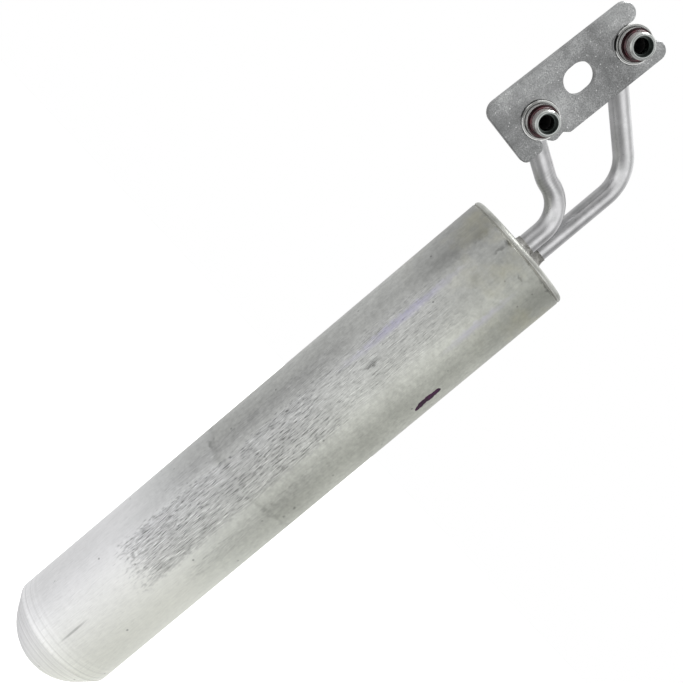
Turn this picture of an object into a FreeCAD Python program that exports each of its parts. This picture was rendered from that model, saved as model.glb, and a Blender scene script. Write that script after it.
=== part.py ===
import FreeCAD, Part
import math
import os

# Air conditioning accumulator: a slim aluminium bottle with a coaxial suction tube inside, and two bent
# pipes that end in O-ring stubs held by one clamp plate.
# Millimetres, +Z along the bottle towards the pipes, stubs facing -Y. The origin is on the bottle's axis,
# half way up its straight wall, where the vehicle's band clamp grips it.

V = FreeCAD.Vector

# General clearances
fit_gap = 0.05            # radial clearance of brazed, pressed and clipped pieces
soft_gap = 0.3            # clearance around the soft desiccant bag

# Bottle
can_od = 60.0
can_wall = 2.0
wall_length = 283.6       # straight outer wall, from the dome's edge to the weld groove
dome_height = 20.8
dome_wall = 3.0
dome_edge_radius = 1.0    # blend between the straight wall and the dome
weld_chamfer = 0.6        # each side of the weld groove
weld_recess = 0.22        # how far the bead lies below the outer wall

# End cap
cap_edge_radius = 2.2     # rounded rim above the weld
cap_plate = 6.0           # thickness of the cap's plate
cap_spigot_wall = 3.0     # ring that reaches down inside the bottle
cap_spigot_depth = 5.0
boss_radius = 6.9
boss_height = 1.4
hub_radius = 8.0          # underside hub that holds the inner tube
hub_depth = 7.0
hub_step = 2.0            # wall left between the outlet pipe and the inner tube

# Pipes
pipe_od = 10.0
pipe_wall = 1.5
inlet_x = 10.7            # the inlet enters the cap beside the centre
inlet_y = 10.5
inlet_tip = 1.0           # how far the inlet pipe reaches through the cap
outlet_rise = 27.2        # corner heights above the cap's top face
outlet_knee_x = -18.4
outlet_knee_rise = 29.2
inlet_rise = 59.8
inlet_end_y = 4.0         # where the inlet's long run crosses its stub's axis
outlet_bend_radius = 16.5
inlet_bend_radius = 21.0
elbow_radius = 14.5       # last bend of each pipe, behind the clamp plate

# Stubs: machined ends brazed on the pipes, pointing to -Y
lower_stub_x = -48.4
lower_stub_rise = 40.35   # above the cap's top face
stub_spacing = 50.6
stub_lean = 1.1           # the upper stub lies this much nearer the bottle
bead_radius = 8.65        # flange that the clamp plate presses on
bead_width = 1.7
bead_groove_radius = 6.7
bead_groove_width = 0.6
shoulder_radius = 7.3
shoulder_width = 2.6
ring_groove_radius = 4.85
ring_groove_width = 2.0
land_radius = 5.85        # pilot that enters the mating block
land_length = 4.1
land_chamfer = 0.7
mouth_radius = 4.3
mouth_depth = 2.7
socket_depth = 4.5        # how deep the pipe sits in its stub
o_ring_section = 1.6

# Clamp plate
plate_back_y = -16.5
plate_thickness = 4.0
plate_below = 17.1        # from the lower stub's axis to the bottom edge
outer_lobe_above = 9.1    # from the upper stub's axis to the top of each lobe
inner_lobe_above = 10.3
outer_margin_low = 19.5   # from the stub axes to the outer long side, at each stub
outer_margin_high = 18.1
inner_margin_low = 12.75  # from the stub axes to the inner long side, at each stub
inner_margin_high = 13.1
plate_corner = 5.8
tongue_corner = 3.2
notch_width = 13.5        # open notch, with the upper pipe against its inner side
notch_below = 8.5         # from the upper stub's axis to the end of the notch, which shows below the bead
notch_corner = 5.0
outer_lobe_corner = 4.5
inner_lobe_corner = 2.9
inner_lobe_shoulder = 4.2
hook_gap = 0.15           # clearance of the closed notch round the lower pipe's braze
hook_reach = 11.4         # outermost edge of the staked hook, from the stub's axis
hook_slit = 1.4           # slit left under the hook
tongue_setback = 1.0      # the lower tongue ends short of the inner long side
slot_width = 12.4
slot_length = 14.9
slot_offset_x = -3.8      # from the line through the stub axes
slot_offset_z = -1.6      # from half way between the stubs
recess_depth = 1.2        # seat of each bead
recess_slack = 0.4        # radial clearance of a bead in its seat
plate_slip = 0.3          # the loose plate hangs this far outwards
plate_drop = 0.15         # and this far down
edge_break = 0.3          # tumbled edges of the plate

# Braze fillets
outlet_fillet_height = 2.4
outlet_fillet_foot = 0.75
inlet_fillet_height = 5.0
inlet_fillet_foot = 1.5
fillet_lip = 0.28
stub_fillet = 0.15

# Suction tube, sleeve and filter inside the bottle
tube_od = 10.0
tube_wall = 1.0
tube_floor_gap = 9.0      # open end of the inner tube above the sleeve's floor
sleeve_od = 20.0
sleeve_wall = 1.6
sleeve_top_drop = 42.0    # below the cap's top face
sleeve_floor_rise = 22.0  # above the inside of the dome
sleeve_floor = 2.2
rib_count = 4
rib_thickness = 1.4
rib_length = 14.0
deflector_gap = 4.0       # from its rim to the bottle's wall
deflector_drop = 18.0     # top of its collar below the cap's top face
deflector_height = 12.0
deflector_wall = 1.2
deflector_collar = 2.0
filter_radius = 7.6
filter_wall = 1.3
filter_height = 13.0
filter_spigot = 4.0
filter_window_width = 5.0
filter_bar = 2.2
screen_wall = 0.4
orifice_radius = 1.6
orifice_hole = 0.6

# Desiccant bag, its straps and the ring below it
bag_gap = 3.5             # from the bag to the bottle's wall
bag_height = 118.0
bag_waist = 1.4           # how far the straps pull the bag in
bag_corner = 5.0
strap_width = 6.0
strap_thickness = 0.8
support_rise = 34.0       # underside of the support ring above the sleeve's floor
support_thickness = 3.0
support_collar = 2.5
support_rim = 3.0
support_gap = 2.5         # from the ring to the bottle's wall
spoke_count = 6
spoke_width = 4.0

# Heights worked out from the sizes above
can_radius = can_od / 2
can_inner = can_radius - can_wall
deflector_radius = can_inner - deflector_gap
bag_radius = can_inner - bag_gap
support_radius = can_inner - support_gap
wall_low = -wall_length / 2
wall_high = wall_length / 2
weld_z = wall_high + weld_chamfer
cap_low_edge = weld_z + weld_chamfer
cap_top = cap_low_edge + cap_edge_radius
cap_under = cap_top - cap_plate
hub_low = cap_under - hub_depth
outlet_seat = cap_under                 # the outlet pipe stops here, and the inner tube below the step
tube_seat = outlet_seat - hub_step
dome_tip = wall_low - dome_height
dome_floor = dome_tip + dome_wall
sleeve_bottom = dome_floor + sleeve_floor_rise
sleeve_top = cap_top - sleeve_top_drop
support_low = sleeve_bottom + support_rise
bag_low = support_low + support_thickness + soft_gap
bag_high = bag_low + bag_height

pipe_radius = pipe_od / 2
pipe_bore = pipe_radius - pipe_wall
hole_radius = pipe_radius + fit_gap
tube_radius = tube_od / 2

lower_stub_z = cap_top + lower_stub_rise
upper_stub_x = lower_stub_x + stub_lean
upper_stub_z = lower_stub_z + stub_spacing
plate_front_y = plate_back_y - plate_thickness
bead_back_y = plate_front_y + recess_depth
braze_radius = hole_radius + stub_fillet
hook_radius = braze_radius + hook_gap


def revolved(points):
    """Solid of revolution about Z from (radius, height) corners."""
    corners = [V(r, 0, z) for r, z in points]
    face = Part.Face(Part.makePolygon(corners + corners[:1]))
    return face.revolve(V(0, 0, 0), V(0, 0, 1), 360)


def revolved_edges(edges):
    """Solid of revolution about Z from edges in the XZ plane that close on themselves."""
    face = Part.Face(Part.Wire(edges))
    return face.revolve(V(0, 0, 0), V(0, 0, 1), 360)


def line(a, b):
    return Part.LineSegment(V(a[0], 0, a[1]), V(b[0], 0, b[1])).toShape()


def arc(a, m, b):
    return Part.Arc(V(a[0], 0, a[1]), V(m[0], 0, m[1]), V(b[0], 0, b[1])).toShape()


def cylinder(radius, low, high, x=0.0, y=0.0):
    """Upright cylinder between two heights."""
    return Part.makeCylinder(radius, high - low, V(x, y, low))


def dome_edges(radius, edge_z, tip_z, ball):
    """Dome from the axis outwards: a ball-shaped middle and a straight flank tangent to it."""
    centre_z = tip_z + ball
    reach = math.hypot(radius, centre_z - edge_z)
    turn = math.atan2(radius, centre_z - edge_z) - math.acos(ball / reach)
    middle = (ball * math.sin(turn / 2), centre_z - ball * math.cos(turn / 2))
    flank = (ball * math.sin(turn), centre_z - ball * math.cos(turn))
    return [arc((0, tip_z), middle, flank), line(flank, (radius, edge_z))]


def can_shell():
    """Extruded bottle: straight wall, domed bottom and a chamfered top edge for the weld."""
    inner_edge_z = wall_low + dome_wall / 2
    outside = dome_edges(can_radius, wall_low, dome_tip, can_radius)
    inside = dome_edges(can_inner, inner_edge_z, dome_floor, can_radius - dome_wall)
    profile = outside + [
        line((can_radius, wall_low), (can_radius, wall_high)),
        line((can_radius, wall_high), (can_radius - weld_chamfer, weld_z)),
        line((can_radius - weld_chamfer, weld_z), (can_inner, weld_z)),
        line((can_inner, weld_z), (can_inner, inner_edge_z)),
        inside[1],
        inside[0],
        line((0, dome_floor), (0, dome_tip)),
    ]
    body = revolved_edges(profile)
    kink = [e for e in body.Edges if is_circle_at(e, can_radius, wall_low)]
    return body.makeFillet(dome_edge_radius, kink)


def is_circle_at(edge, radius, z):
    """True for a level circle about Z of this radius at this height."""
    box = edge.BoundBox
    level = abs(box.ZMin - z) < 1e-3 and abs(box.ZMax - z) < 1e-3
    return level and abs(box.XMax - radius) < 1e-3


def end_cap():
    """Turned cap: rounded rim, spigot inside the bottle, two pipe bosses and the hub of the inner tube."""
    rim_inner = can_radius - cap_edge_radius
    turn = math.sqrt(0.5)
    spigot_radius = can_inner - fit_gap
    spigot_low = cap_under - cap_spigot_depth
    chamfer_inner = can_radius - weld_chamfer
    profile = [
        line((0, cap_top), (rim_inner, cap_top)),
        arc((rim_inner, cap_top),
            (rim_inner + cap_edge_radius * turn, cap_low_edge + cap_edge_radius * turn),
            (can_radius, cap_low_edge)),
        line((can_radius, cap_low_edge), (chamfer_inner, weld_z)),
        line((chamfer_inner, weld_z), (spigot_radius, weld_z)),
        line((spigot_radius, weld_z), (spigot_radius, spigot_low)),
        line((spigot_radius, spigot_low), (spigot_radius - cap_spigot_wall, spigot_low)),
        line((spigot_radius - cap_spigot_wall, spigot_low), (spigot_radius - cap_spigot_wall, cap_under)),
        line((spigot_radius - cap_spigot_wall, cap_under), (hub_radius, cap_under)),
        line((hub_radius, cap_under), (hub_radius, hub_low)),
        line((hub_radius, hub_low), (0, hub_low)),
        line((0, hub_low), (0, cap_top)),
    ]
    body = revolved_edges(profile)
    for x, y in ((0.0, 0.0), (inlet_x, inlet_y)):
        body = body.fuse(cylinder(boss_radius, cap_top - 1, cap_top + boss_height, x, y))
    body = body.removeSplitter()
    body = body.cut(cylinder(hole_radius, outlet_seat, cap_top + boss_height + 1))
    body = body.cut(cylinder(pipe_bore, hub_low - 1, cap_top))
    body = body.cut(cylinder(tube_radius + fit_gap, hub_low - 1, tube_seat))
    return body.cut(cylinder(hole_radius, cap_under - 1, cap_top + boss_height + 1, inlet_x, inlet_y))


def seam_weld():
    """Bead that fills the groove between bottle and cap, a little below the outer wall."""
    face = can_radius - weld_recess
    root = can_radius - weld_chamfer
    half = weld_chamfer - weld_recess
    return revolved([(root, weld_z), (face, weld_z - half), (face, weld_z + half)])


def bent_path(points, radii):
    """Wire of straight runs through the points, with a tangent arc of each radius at the inner ones."""
    edges = []
    start = points[0]
    for before, corner, after, radius in zip(points, points[1:], points[2:], radii):
        back = (before - corner).normalize()
        ahead = (after - corner).normalize()
        half = back.getAngle(ahead) / 2
        reach = radius / math.tan(half)
        middle_way = (back + ahead).normalize()
        middle = corner + middle_way * (radius / math.sin(half) - radius)
        first = corner + back * reach
        last = corner + ahead * reach
        edges.append(Part.LineSegment(start, first).toShape())
        edges.append(Part.Arc(first, middle, last).toShape())
        start = last
    edges.append(Part.LineSegment(start, points[-1]).toShape())
    return Part.Wire(edges)


def swept(path, start, way, radius):
    """Round bar of this radius along a path."""
    section = Part.Wire(Part.Circle(start, way, radius).toShape())
    return path.makePipeShell([section], True, False)


def bent_pipe(points, radii):
    """Drawn tube along a bent path, open at both ends."""
    path = bent_path(points, radii)
    way = points[1] - points[0]
    outside = swept(path, points[0], way, pipe_radius)
    inside = swept(path, points[0], way, pipe_bore)
    return outside.cut(inside)


def outlet_pipe():
    """Short pipe: up from the cap's centre, over, gently up again and round into the lower stub."""
    return bent_pipe(
        [
            V(0, 0, outlet_seat),
            V(0, 0, cap_top + outlet_rise),
            V(outlet_knee_x, 0, cap_top + outlet_knee_rise),
            V(lower_stub_x, 0, lower_stub_z),
            V(lower_stub_x, bead_back_y - socket_depth, lower_stub_z),
        ],
        [outlet_bend_radius, outlet_bend_radius, elbow_radius])


def inlet_pipe():
    """Long pipe: up beside the centre, across to the plate and round into the upper stub."""
    return bent_pipe(
        [
            V(inlet_x, inlet_y, cap_under - inlet_tip),
            V(inlet_x, inlet_y, cap_top + inlet_rise),
            V(upper_stub_x, inlet_end_y, upper_stub_z),
            V(upper_stub_x, bead_back_y - socket_depth, upper_stub_z),
        ],
        [inlet_bend_radius, elbow_radius])


def braze_fillet(x, y, foot, height):
    """Braze metal around a pipe on its boss: a flared foot and a thin lip at the top."""
    low = cap_top + boss_height
    inner = hole_radius
    top = low + height
    flare = V(inner + fillet_lip + (foot - fillet_lip) * 0.3, 0, low + height * 0.35)
    edges = [
        line((inner, low), (inner + foot, low)),
        Part.Arc(V(inner + foot, 0, low), flare, V(inner + fillet_lip, 0, top)).toShape(),
        line((inner + fillet_lip, top), (inner, top)),
        line((inner, top), (inner, low)),
    ]
    fillet = revolved_edges(edges)
    fillet.translate(V(x, y, 0))
    return fillet


def stub_turned(points, x, z):
    """Solid turned about a stub's axis, from (radius, distance out from the bead's back) corners."""
    corners = [V(r, -out, 0) for r, out in points]
    face = Part.Face(Part.makePolygon(corners + corners[:1]))
    solid = face.revolve(V(0, 0, 0), V(0, 1, 0), 360)
    solid.translate(V(x, bead_back_y, z))
    return solid


# Distances out from the bead's back face along a stub
bead_front = bead_width
shoulder_start = bead_front + bead_groove_width
shoulder_front = shoulder_start + shoulder_width
land_start = shoulder_front + ring_groove_width
land_end = land_start + land_length
stub_tip = land_end + land_chamfer


def pipe_stub(x, z):
    """Machined pipe end: bead, groove, shoulder, O-ring groove, pilot land and a stepped mouth."""
    mouth_start = stub_tip - mouth_depth
    return stub_turned(
        [
            (hole_radius, 0),
            (bead_radius, 0),
            (bead_radius, bead_front),
            (bead_groove_radius, bead_front),
            (bead_groove_radius, shoulder_start),
            (shoulder_radius, shoulder_start),
            (shoulder_radius, shoulder_front),
            (ring_groove_radius, shoulder_front),
            (ring_groove_radius, land_start),
            (land_radius, land_start),
            (land_radius, land_end),
            (land_radius - land_chamfer, stub_tip),
            (mouth_radius, stub_tip),
            (mouth_radius, mouth_start),
            (pipe_bore, mouth_start),
            (pipe_bore, socket_depth + fit_gap),
            (hole_radius, socket_depth + fit_gap),
        ], x, z)


def stub_braze(x, z):
    """Braze fillet where the pipe enters the back of its stub."""
    return stub_turned([(hole_radius, 0), (braze_radius, 0), (hole_radius, -stub_fillet)], x, z)


def o_ring(x, z):
    """Round-section seal resting in its groove."""
    centre_radius = ring_groove_radius + fit_gap + o_ring_section / 2
    out = shoulder_front + ring_groove_width / 2
    centre = V(x, bead_back_y - out, z)
    return Part.makeTorus(centre_radius, o_ring_section / 2, centre, V(0, -1, 0))


def rounded_outline(corners):
    """Closed wire in the XZ plane through (x, z, radius) corners, each rounded by its radius."""
    edges = []
    count = len(corners)
    ends = []
    for i, (x, z, radius) in enumerate(corners):
        corner = V(x, 0, z)
        before = V(corners[i - 1][0], 0, corners[i - 1][1])
        after = V(corners[(i + 1) % count][0], 0, corners[(i + 1) % count][1])
        back = (before - corner).normalize()
        ahead = (after - corner).normalize()
        half = back.getAngle(ahead) / 2
        if radius > 0:
            reach = radius / math.tan(half)
            middle = corner + (back + ahead).normalize() * (radius / math.sin(half) - radius)
            ends.append((corner + back * reach, middle, corner + ahead * reach))
        else:
            ends.append((corner, None, corner))
    for i, (first, middle, last) in enumerate(ends):
        if middle is not None:
            edges.append(Part.Arc(first, middle, last).toShape())
        edges.append(Part.LineSegment(last, ends[(i + 1) % count][0]).toShape())
    return Part.Wire(edges)


def between_stubs(at_lower, at_upper, z):
    """Value at this height of what changes evenly from one stub's height to the other's."""
    return at_lower + (at_upper - at_lower) * (z - lower_stub_z) / stub_spacing


def stub_line_x(z):
    """Where the slightly leaning line through both stub axes lies at this height."""
    return between_stubs(lower_stub_x, upper_stub_x, z)


def outer_side_x(z):
    """Outer long side of the plate, which closes in a little towards the top."""
    return stub_line_x(z) - between_stubs(outer_margin_low, outer_margin_high, z)


def inner_side_x(z):
    """Inner long side of the plate, on the bottle's side."""
    return stub_line_x(z) + between_stubs(inner_margin_low, inner_margin_high, z)


def plate_blank():
    """Outline of the plate with the open notch for the upper pipe and the staked hook of the lower one."""
    bottom = lower_stub_z - plate_below
    outer_top = upper_stub_z + outer_lobe_above
    inner_top = upper_stub_z + inner_lobe_above
    notch_low = upper_stub_z - notch_below
    notch_inner = upper_stub_x + braze_radius + fit_gap
    notch_outer = notch_inner - notch_width
    tongue_top = lower_stub_z - plate_drop - hook_radius
    tongue_x = inner_side_x(bottom) - tongue_setback
    hook_low = tongue_top + hook_slit
    hook_nick = lower_stub_z + 4.6
    return rounded_outline([
        (outer_side_x(bottom), bottom, plate_corner),
        (tongue_x, bottom, tongue_corner),
        (tongue_x, tongue_top, tongue_corner),
        (lower_stub_x, tongue_top, 0),
        (lower_stub_x, hook_low, 0),
        (lower_stub_x + bead_radius - 1.2, hook_low, 0.5),
        (lower_stub_x + hook_reach + 0.3, lower_stub_z - 0.5, 3.0),
        (lower_stub_x + hook_reach - 0.7, hook_nick, 0),
        (inner_side_x(hook_nick + 2.5), hook_nick + 2.5, 2.2),
        (inner_side_x(inner_top), inner_top, inner_lobe_shoulder),
        (notch_inner, inner_top, inner_lobe_corner),
        (notch_inner, notch_low, notch_corner),
        (notch_outer, notch_low, notch_corner),
        (notch_outer, outer_top, outer_lobe_corner),
        (outer_side_x(outer_top), outer_top, outer_lobe_corner),
    ])


def y_cylinder(radius, x, z, front, back):
    """Cylinder along Y between two faces."""
    return Part.makeCylinder(radius, back - front, V(x, front, z), V(0, 1, 0))


def clamp_plate():
    """Flat clamp that presses both beads on the mating block, held by one bolt through its slot."""
    blank = Part.Face(plate_blank()).extrude(V(0, plate_thickness, 0))
    rims = [e for e in blank.Edges if e.BoundBox.YLength < 1e-6]
    blank = blank.makeChamfer(edge_break, rims)
    blank.translate(V(0, plate_front_y, 0))
    slot_z = (lower_stub_z + upper_stub_z) / 2 + slot_offset_z
    slot_x = stub_line_x(slot_z) + slot_offset_x
    half = (slot_length - slot_width) / 2
    slot = rounded_outline([
        (slot_x - slot_width / 2, slot_z - slot_length / 2, slot_width / 2 - 0.05),
        (slot_x + slot_width / 2, slot_z - slot_length / 2, slot_width / 2 - 0.05),
        (slot_x + slot_width / 2, slot_z + slot_length / 2, slot_width / 2 - 0.05),
        (slot_x - slot_width / 2, slot_z + slot_length / 2, slot_width / 2 - 0.05),
    ])
    cutter = Part.Face(slot).extrude(V(0, plate_thickness + 2, 0))
    cutter.translate(V(0, plate_front_y - 1, 0))
    plate = blank.cut(cutter)
    pipe_hole = y_cylinder(hook_radius, lower_stub_x, lower_stub_z - plate_drop,
                           plate_front_y - 1, plate_back_y + 1)
    plate = plate.cut(pipe_hole)
    for x, z in ((lower_stub_x, lower_stub_z), (upper_stub_x, upper_stub_z)):
        seat = y_cylinder(bead_radius + recess_slack, x - plate_slip, z - plate_drop,
                          plate_front_y - 1, bead_back_y + fit_gap)
        plate = plate.cut(seat)
    return plate


def inner_tube():
    """Suction tube that hangs from the cap's hub, open just above the sleeve's floor."""
    low = sleeve_bottom + sleeve_floor + tube_floor_gap
    body = cylinder(tube_radius, low, tube_seat - fit_gap)
    return body.cut(cylinder(tube_radius - tube_wall, low - 1, tube_seat + 1))


def outer_sleeve():
    """Moulded sleeve round the suction tube: open at the top, closed and necked at the bottom."""
    outer = sleeve_od / 2
    inner = outer - sleeve_wall
    neck = filter_radius - filter_wall - fit_gap
    floor_top = sleeve_bottom + sleeve_floor
    body = revolved([
        (0, sleeve_bottom - filter_spigot), (neck, sleeve_bottom - filter_spigot),
        (neck, sleeve_bottom), (outer, sleeve_bottom + 1.5), (outer, sleeve_top),
        (inner, sleeve_top), (inner, floor_top + 2), (inner - 2, floor_top), (0, floor_top)])
    body = body.cut(cylinder(orifice_radius + fit_gap, sleeve_bottom - filter_spigot - 1, floor_top + 1))
    grip = tube_radius + fit_gap
    lows = (sleeve_top - rib_length, floor_top + tube_floor_gap)
    for low in lows:
        for i in range(rib_count):
            rib = Part.makeBox(inner - grip + 0.5, rib_thickness, rib_length,
                               V(grip, -rib_thickness / 2, low))
            rib.rotate(V(0, 0, 0), V(0, 0, 1), 360 * i / rib_count + 45)
            body = body.fuse(rib)
    body = body.cut(cylinder(grip, floor_top + 1, sleeve_top + 1))
    return body.removeSplitter()


def flow_deflector():
    """Pressed umbrella on the suction tube that throws the incoming stream to the wall."""
    top = cap_top - deflector_drop
    low = top - deflector_height
    grip = tube_radius + fit_gap
    collar = grip + deflector_collar
    wall = deflector_wall
    return revolved([
        (grip, top), (collar, top), (collar, top - 3), (deflector_radius - 2, low + 5),
        (deflector_radius, low + 3), (deflector_radius, low), (deflector_radius - wall, low),
        (deflector_radius - wall, low + 3 - wall / 2), (deflector_radius - 2 - wall / 2, low + 5 - wall),
        (collar, top - 3 - wall), (collar, top - 6), (grip, top - 6)])


def desiccant_bag():
    """Ring-shaped felt bag of desiccant beads, pulled in where its two straps go round."""
    inner = sleeve_od / 2 + soft_gap
    waist = bag_radius - bag_waist
    waist_half = strap_width / 2 + soft_gap
    slope_half = waist_half + bag_waist * 2
    outline = [(inner, bag_low), (bag_radius - bag_corner, bag_low), (bag_radius, bag_low + bag_corner)]
    for level in strap_levels():
        outline += [
            (bag_radius, level - slope_half),
            (waist, level - waist_half),
            (waist, level + waist_half),
            (bag_radius, level + slope_half),
        ]
    outline += [(bag_radius, bag_high - bag_corner), (bag_radius - bag_corner, bag_high), (inner, bag_high)]
    return revolved(outline)


def strap_levels():
    """Heights of the two straps, a fifth of the bag's height from each end."""
    return (bag_low + bag_height / 5, bag_high - bag_height / 5)


def bag_strap(level):
    """Tie band round the bag's waist."""
    inner = bag_radius - bag_waist + soft_gap
    low = level - strap_width / 2
    high = level + strap_width / 2
    outer = inner + strap_thickness
    return revolved([(inner, low), (outer, low), (outer, high), (inner, high)])


def bag_support_ring():
    """Spoked ring pressed on the sleeve that carries the bag."""
    low = support_low
    high = support_low + support_thickness
    grip = sleeve_od / 2 + fit_gap
    collar = cylinder(grip + support_collar, low - 3, high)
    rim = cylinder(support_radius, low, high).cut(cylinder(support_radius - support_rim, low, high))
    ring = collar.fuse(rim)
    for i in range(spoke_count):
        spoke = Part.makeBox(support_radius - support_rim / 2 - grip, spoke_width, support_thickness,
                             V(grip, -spoke_width / 2, low))
        spoke.rotate(V(0, 0, 0), V(0, 0, 1), 360 * i / spoke_count)
        ring = ring.fuse(spoke)
    ring = ring.cut(cylinder(grip, low - 4, high + 1))
    return ring.removeSplitter()


def oil_filter_housing():
    """Cage clipped on the sleeve's neck, open at its windows, that holds the oil screen."""
    high = sleeve_bottom
    low = high - filter_height
    inner = filter_radius - filter_wall
    cage = cylinder(filter_radius, low, high).cut(cylinder(inner, low + filter_bar, high + 1))
    window_low = low + filter_bar
    window_high = high - filter_spigot - 1
    for i in range(rib_count):
        window = Part.makeBox(filter_radius, filter_window_width, window_high - window_low,
                              V(inner / 2, -filter_window_width / 2, window_low))
        window.rotate(V(0, 0, 0), V(0, 0, 1), 360 * i / rib_count)
        cage = cage.cut(window)
    return cage


def oil_filter_screen():
    """Fine woven tube inside the cage, shown as a thin sleeve."""
    outer = filter_radius - filter_wall - fit_gap
    low = sleeve_bottom - filter_height + filter_bar
    high = sleeve_bottom - filter_spigot - fit_gap
    return cylinder(outer, low, high).cut(cylinder(outer - screen_wall, low - 1, high + 1))


def bleed_orifice():
    """Small turned insert that meters oil back into the suction stream."""
    low = sleeve_bottom - filter_spigot
    high = sleeve_bottom + sleeve_floor
    body = cylinder(orifice_radius, low, high)
    return body.cut(cylinder(orifice_hole, low - 1, high + 1))


nodes = {
    "can_shell": can_shell(),
    "end_cap": end_cap(),
    "seam_weld": seam_weld(),
    "outlet_pipe": outlet_pipe(),
    "inlet_pipe": inlet_pipe(),
    "outlet_braze": braze_fillet(0.0, 0.0, outlet_fillet_foot, outlet_fillet_height),
    "inlet_braze": braze_fillet(inlet_x, inlet_y, inlet_fillet_foot, inlet_fillet_height),
    "outlet_stub": pipe_stub(lower_stub_x, lower_stub_z),
    "inlet_stub": pipe_stub(upper_stub_x, upper_stub_z),
    "outlet_stub_braze": stub_braze(lower_stub_x, lower_stub_z),
    "inlet_stub_braze": stub_braze(upper_stub_x, upper_stub_z),
    "outlet_o_ring": o_ring(lower_stub_x, lower_stub_z),
    "inlet_o_ring": o_ring(upper_stub_x, upper_stub_z),
    "clamp_plate": clamp_plate(),
    "inner_tube": inner_tube(),
    "outer_sleeve": outer_sleeve(),
    "flow_deflector": flow_deflector(),
    "desiccant_bag": desiccant_bag(),
    "lower_bag_strap": bag_strap(strap_levels()[0]),
    "upper_bag_strap": bag_strap(strap_levels()[1]),
    "bag_support_ring": bag_support_ring(),
    "oil_filter_housing": oil_filter_housing(),
    "oil_filter_screen": oil_filter_screen(),
    "bleed_orifice": bleed_orifice(),
}

os.makedirs("parts", exist_ok=True)
for name, shape in nodes.items():
    solids = shape.Solids
    print(name, "solids", len(solids), "valid", shape.isValid(), "volume", round(shape.Volume, 1))
    if len(solids) == 1:
        shape = solids[0]
    shape.exportStep("parts/" + name + ".step")
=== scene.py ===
import math

import bpy
import numpy as np
from mathutils import Matrix, Vector


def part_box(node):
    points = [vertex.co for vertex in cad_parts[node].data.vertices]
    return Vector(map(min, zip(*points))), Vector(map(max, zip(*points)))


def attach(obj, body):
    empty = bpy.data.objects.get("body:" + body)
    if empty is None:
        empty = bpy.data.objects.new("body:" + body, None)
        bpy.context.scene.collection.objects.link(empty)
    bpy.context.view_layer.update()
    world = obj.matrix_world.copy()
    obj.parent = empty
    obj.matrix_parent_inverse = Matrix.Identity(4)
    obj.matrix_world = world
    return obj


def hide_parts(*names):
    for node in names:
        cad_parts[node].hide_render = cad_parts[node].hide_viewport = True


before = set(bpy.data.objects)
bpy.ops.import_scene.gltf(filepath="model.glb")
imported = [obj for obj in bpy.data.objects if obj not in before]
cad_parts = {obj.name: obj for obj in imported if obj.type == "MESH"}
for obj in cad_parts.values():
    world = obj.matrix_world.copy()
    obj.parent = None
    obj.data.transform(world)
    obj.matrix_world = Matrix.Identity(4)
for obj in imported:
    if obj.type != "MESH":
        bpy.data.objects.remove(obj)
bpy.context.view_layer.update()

# Camera. It stands a little above the object and to its left. The object hangs upright in this frame, and
# the camera's roll lays the bottle from corner to corner of the picture.
MM = 0.001
view_azimuth, view_elevation, view_roll = (math.radians(a) for a in (-20.0, 5.8, 49.85))
aim = Vector((-19.73, 7.18, 53.6)) * MM
stand_off = 568 * MM
to_camera = Vector((math.sin(view_azimuth) * math.cos(view_elevation),
                    -math.cos(view_azimuth) * math.cos(view_elevation),
                    math.sin(view_elevation)))
level = Vector((math.cos(view_azimuth), math.sin(view_azimuth), 0))
upright = to_camera.cross(level)
picture_x = level * math.cos(view_roll) + upright * math.sin(view_roll)
picture_y = upright * math.cos(view_roll) - level * math.sin(view_roll)
turn = Matrix((picture_x, picture_y, to_camera)).transposed().to_4x4()
lens = bpy.data.cameras.new("camera")
lens.sensor_width = 36
lens.lens = 63.25
lens.clip_start, lens.clip_end = 0.01, 50
camera = bpy.data.objects.new("camera", lens)
camera.matrix_world = Matrix.Translation(aim + to_camera * stand_off) @ turn
bpy.context.scene.collection.objects.link(camera)
bpy.context.scene.camera = camera
bpy.context.scene.view_settings.view_transform = "Standard"


# Studio. A white room with a pale floor well below the hanging object, soft panels above and in front, and
# a dark gap on each side, which draws a long grey band on round metal.
def linear(hex_colour):
    """An sRGB hex colour as linear RGBA: each channel is undone by the sRGB curve."""
    channels = np.array([int(hex_colour[at:at + 2], 16) for at in (1, 3, 5)]) / 255
    channels = np.where(channels <= 0.04045, channels / 12.92, ((channels + 0.055) / 1.055) ** 2.4)
    return (*channels.tolist(), 1.0)


def live(sockets, key):
    """The socket of that name or place, among those that the node's settings leave in use."""
    used = [socket for socket in sockets if socket.enabled]
    return used[key] if isinstance(key, int) else next(socket for socket in used if socket.name == key)


def add(tree, kind, values=None, links=None, stops=None, **settings):
    """Adds one shader node: its settings, its sockets' values (hex or plain), what is linked to them, and,
    for a ramp, its stops in rising order, as place and colour (hex or a grey)."""
    made = tree.nodes.new("ShaderNode" + kind)
    for name, value in settings.items():
        setattr(made, name, value)
    for key, value in (values or {}).items():
        live(made.inputs, key).default_value = linear(value) if isinstance(value, str) else value
    for key, source in (links or {}).items():
        source = live(source.outputs, 0) if isinstance(source, bpy.types.Node) else source
        tree.links.new(source, live(made.inputs, key))
    if stops:
        ramp = made.color_ramp.elements
        ramp.remove(ramp[1])
        for at, (place, colour) in enumerate(stops):
            stop = ramp.new(place) if at else ramp[0]
            stop.position = place
            stop.color = linear(colour) if isinstance(colour, str) else (colour, colour, colour, 1)
    return made


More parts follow.
